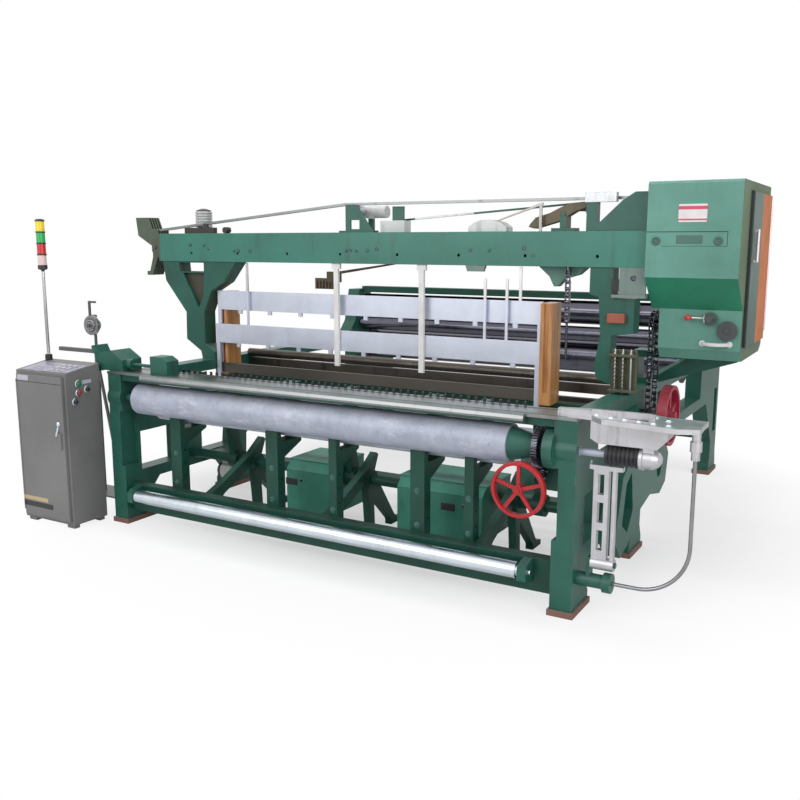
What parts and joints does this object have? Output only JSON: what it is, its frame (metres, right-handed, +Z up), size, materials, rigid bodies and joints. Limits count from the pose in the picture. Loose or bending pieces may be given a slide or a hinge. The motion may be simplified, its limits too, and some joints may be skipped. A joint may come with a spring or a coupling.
{
  "type": "power loom",
  "caption": "Rapier power loom: side castings, take-up and warp rollers, rocking sley, two heald frames, overhead beam, shedding head, chain drive and control cabinet.",
  "frame": {"origin": "on the floor, at the centre of the four anchor bolt holes in the corner feet", "axes": "+X along the rollers towards the shedding head, +Y from the weaver to the warp end, +Z up"},
  "size_m": [4.0563, 3.2123, 1.825],
  "materials": {
    "green_paint": "gloss enamel over castings",
    "head_green": "gloss enamel on sheet",
    "olive_paint": "oily olive enamel",
    "pad_brown": "brown anti-vibration pad",
    "steel": "brushed",
    "mottled_zinc": "mottled sand-blasted sleeve",
    "polished_steel": "ground and polished",
    "dark_steel": "dark oiled",
    "red_paint": "gloss enamel",
    "cast_aluminium": "as cast, satin",
    "lilac_aluminium": "anodised, satin",
    "sley_beige": "satin",
    "wood": "varnished",
    "cream_plastic": "matte",
    "white_plastic": "gloss",
    "copper_paint": "satin primer-like enamel",
    "ball_red": "gloss",
    "rubber_black": "ribbed",
    "cabinet_grey": "textured powder coat",
    "button_red": "gloss",
    "button_green": "gloss",
    "lamp_stack": "translucent lamp rings",
    "motor_grey": "satin",
    "stand_dark": "satin"
  },
  "bodies": {
    "frame": {"side_frame_right": "green_paint", "side_frame_left": "green_paint", "tail_frames": "green_paint", "foot_pads": "pad_brown", "breast_beam": "green_paint", "cross_ties": "green_paint", "breast_plate": "steel", "breast_brackets": "green_paint", "worm_box": "green_paint", "cloth_brackets": "green_paint", "cam_boxes": "green_paint", "motor": "motor_grey", "uprights": "green_paint", "top_beam": "green_paint", "wooden_guides": "wood", "rail_spacers": "cream_plastic", "ribbed_cap": "white_plastic", "beam_brackets": "green_paint", "head_hood": "head_green", "head_body": "head_green", "head_bracket": "green_paint", "drive_chain": "dark_steel", "rapier_carrier": "cast_aluminium", "bellows": "rubber_black", "drive_housing": "green_paint", "guide_tube": "polished_steel", "left_guide": "green_paint", "cabinet_body": "cabinet_grey", "signal_tower": "lamp_stack", "yarn_stand": "stand_dark"},
    "take_up": {"take_up_roller": "mottled_zinc", "take_up_gear": "dark_steel"},
    "pinion": {"take_up_pinion": "dark_steel"},
    "hand_wheel": {"hand_wheel": "red_paint"},
    "press": {"press_roller": "lilac_aluminium"},
    "warp": {"warp_beam": "dark_steel"},
    "back_rest": {"back_rest_roller": "dark_steel"},
    "tension": {"tension_roller": "dark_steel"},
    "cloth": {"cloth_roller": "polished_steel"},
    "sley": {"sley_swords": "green_paint", "sley_beam": "sley_beige", "sley_cap": "steel"},
    "heald_rear": {"heald_frame_rear": "lilac_aluminium"},
    "heald_front": {"heald_frame_front": "lilac_aluminium"},
    "jack_front": {"jack_lever_front": "olive_paint"},
    "jack_rear": {"jack_lever_rear": "olive_paint"},
    "jack_third": {"jack_lever_third": "olive_paint"},
    "jack_fourth": {"jack_lever_fourth": "olive_paint"},
    "jack_fifth": {"jack_lever_fifth": "olive_paint"},
    "rod_front": {"pull_rod_front": "steel"},
    "rod_rear": {"pull_rod_rear": "steel"},
    "guide_roller": {"rod_guide_roller": "cast_aluminium"},
    "side_door": {"head_door": "copper_paint"},
    "selector": {"select_lever": "ball_red"},
    "main": {"main_shaft": "red_paint"},
    "head_input": {"head_sprocket": "dark_steel"},
    "arm": {"swing_arm": "cast_aluminium"},
    "door": {"cabinet_door": "cabinet_grey"},
    "stop": {"stop_button": "button_red"},
    "start": {"start_button": "button_green"}
  },
  "joints": [
    {"name": "hand_wheel_turn", "type": "hinge", "parent": "frame", "child": "hand_wheel", "pos_m": [1.1215, -1.535, 0.54487], "axis": [0, 1, 0], "continuous": true},
    {"name": "take_up_spin", "type": "hinge", "parent": "frame", "child": "take_up", "pos_m": [0, -1.425, 0.714], "axis": [1, 0, 0], "continuous": true},
    {"name": "pinion_spin", "type": "hinge", "parent": "frame", "child": "pinion", "pos_m": [1.17, -1.38792, 0.59987], "axis": [1, 0, 0], "continuous": true},
    {"name": "press_roller_spin", "type": "hinge", "parent": "frame", "child": "press", "pos_m": [0, -1.275, 0.63], "axis": [1, 0, 0], "continuous": true},
    {"name": "cloth_roller_spin", "type": "hinge", "parent": "frame", "child": "cloth", "pos_m": [0, -1.485, 0.175], "axis": [1, 0, 0], "continuous": true},
    {"name": "warp_beam_spin", "type": "hinge", "parent": "frame", "child": "warp", "pos_m": [0, 1.085, 0.78], "axis": [1, 0, 0], "continuous": true},
    {"name": "back_rest_spin", "type": "hinge", "parent": "frame", "child": "back_rest", "pos_m": [0, 1.025, 1.085], "axis": [1, 0, 0], "continuous": true},
    {"name": "tension_roller_spin", "type": "hinge", "parent": "frame", "child": "tension", "pos_m": [0, 0.965, 0.945], "axis": [1, 0, 0], "continuous": true},
    {"name": "sley_rock", "type": "hinge", "parent": "frame", "child": "sley", "pos_m": [0, -0.955, 0.31], "axis": [1, 0, 0], "range_deg": [-2, 10]},
    {"name": "heald_front_lift", "type": "slide", "parent": "frame", "child": "heald_front", "axis": [0, 0, 1], "range_m": [0, 0.06]},
    {"name": "jack_front_rock", "type": "hinge", "parent": "frame", "child": "jack_front", "pos_m": [-1.73, -0.625, 1.5245], "axis": [0, 1, 0], "range_deg": [-25, 25]},
    {"name": "rod_front_pull", "type": "slide", "parent": "frame", "child": "rod_front", "axis": [-1, 0, 0], "range_m": [-0.05, 0.05]},
    {"name": "heald_rear_lift", "type": "slide", "parent": "frame", "child": "heald_rear", "axis": [0, 0, 1], "range_m": [-0.06, 0]},
    {"name": "jack_rear_rock", "type": "hinge", "parent": "frame", "child": "jack_rear", "pos_m": [-1.73, -0.625, 1.5245], "axis": [0, 1, 0], "range_deg": [-25, 25]},
    {"name": "rod_rear_pull", "type": "slide", "parent": "frame", "child": "rod_rear", "axis": [-1, 0, 0], "range_m": [-0.05, 0.05]},
    {"name": "jack_third_rock", "type": "hinge", "parent": "frame", "child": "jack_third", "pos_m": [-1.73, -0.625, 1.5245], "axis": [0, 1, 0], "range_deg": [-19, 19]},
    {"name": "jack_fourth_rock", "type": "hinge", "parent": "frame", "child": "jack_fourth", "pos_m": [-1.73, -0.625, 1.5245], "axis": [0, 1, 0], "range_deg": [-19, 19]},
    {"name": "jack_fifth_rock", "type": "hinge", "parent": "frame", "child": "jack_fifth", "pos_m": [-1.73, -0.625, 1.5245], "axis": [0, 1, 0], "range_deg": [-19, 19]},
    {"name": "guide_roller_spin", "type": "hinge", "parent": "frame", "child": "guide_roller", "pos_m": [-0.225, -0.675, 1.7247], "axis": [0, 1, 0], "continuous": true},
    {"name": "side_door_swing", "type": "hinge", "parent": "frame", "child": "side_door", "pos_m": [1.8233, -0.075, 1.43], "axis": [0, 0, 1], "range_deg": [0, 100]},
    {"name": "selector_turn", "type": "hinge", "parent": "frame", "child": "selector", "pos_m": [1.669, -0.615, 1.21], "axis": [0, 1, 0], "range_deg": [-40, 15]},
    {"name": "main_shaft_spin", "type": "hinge", "parent": "frame", "child": "main", "pos_m": [0, -0.475, 0.715], "axis": [1, 0, 0], "continuous": true},
    {"name": "head_input_spin", "type": "hinge", "parent": "frame", "child": "head_input", "pos_m": [1.43, -0.475, 1.1595], "axis": [1, 0, 0], "continuous": true},
    {"name": "swing_arm_swing", "type": "hinge", "parent": "frame", "child": "arm", "pos_m": [1.44, -1.413, 0.245], "axis": [1, 0, 0], "range_deg": [-8, 8]},
    {"name": "cabinet_door_swing", "type": "hinge", "parent": "frame", "child": "door", "pos_m": [-1.795, -1.7203, 0.45], "axis": [0, 0, -1], "range_deg": [0, 110]},
    {"name": "stop_press", "type": "slide", "parent": "frame", "child": "stop", "axis": [-1, 0, 0], "range_m": [0, 0.004], "stiffness_N_per_m": 600},
    {"name": "start_press", "type": "slide", "parent": "frame", "child": "start", "axis": [-1, 0, 0], "range_m": [0, 0.004], "stiffness_N_per_m": 600}
  ],
  "couplings": [
    {"joint": "pinion_spin", "follows": "take_up_spin", "ratio": -2.75},
    {"joint": "hand_wheel_turn", "follows": "take_up_spin", "ratio": 13.75},
    {"joint": "jack_front_rock", "follows": "heald_front_lift", "rad_per_m": -5.5},
    {"joint": "rod_front_pull", "follows": "heald_front_lift", "ratio": 0.5665},
    {"joint": "jack_rear_rock", "follows": "heald_rear_lift", "rad_per_m": -5.5},
    {"joint": "rod_rear_pull", "follows": "heald_rear_lift", "ratio": 0.5665},
    {"joint": "head_input_spin", "follows": "main_shaft_spin", "ratio": 1}
  ]
}
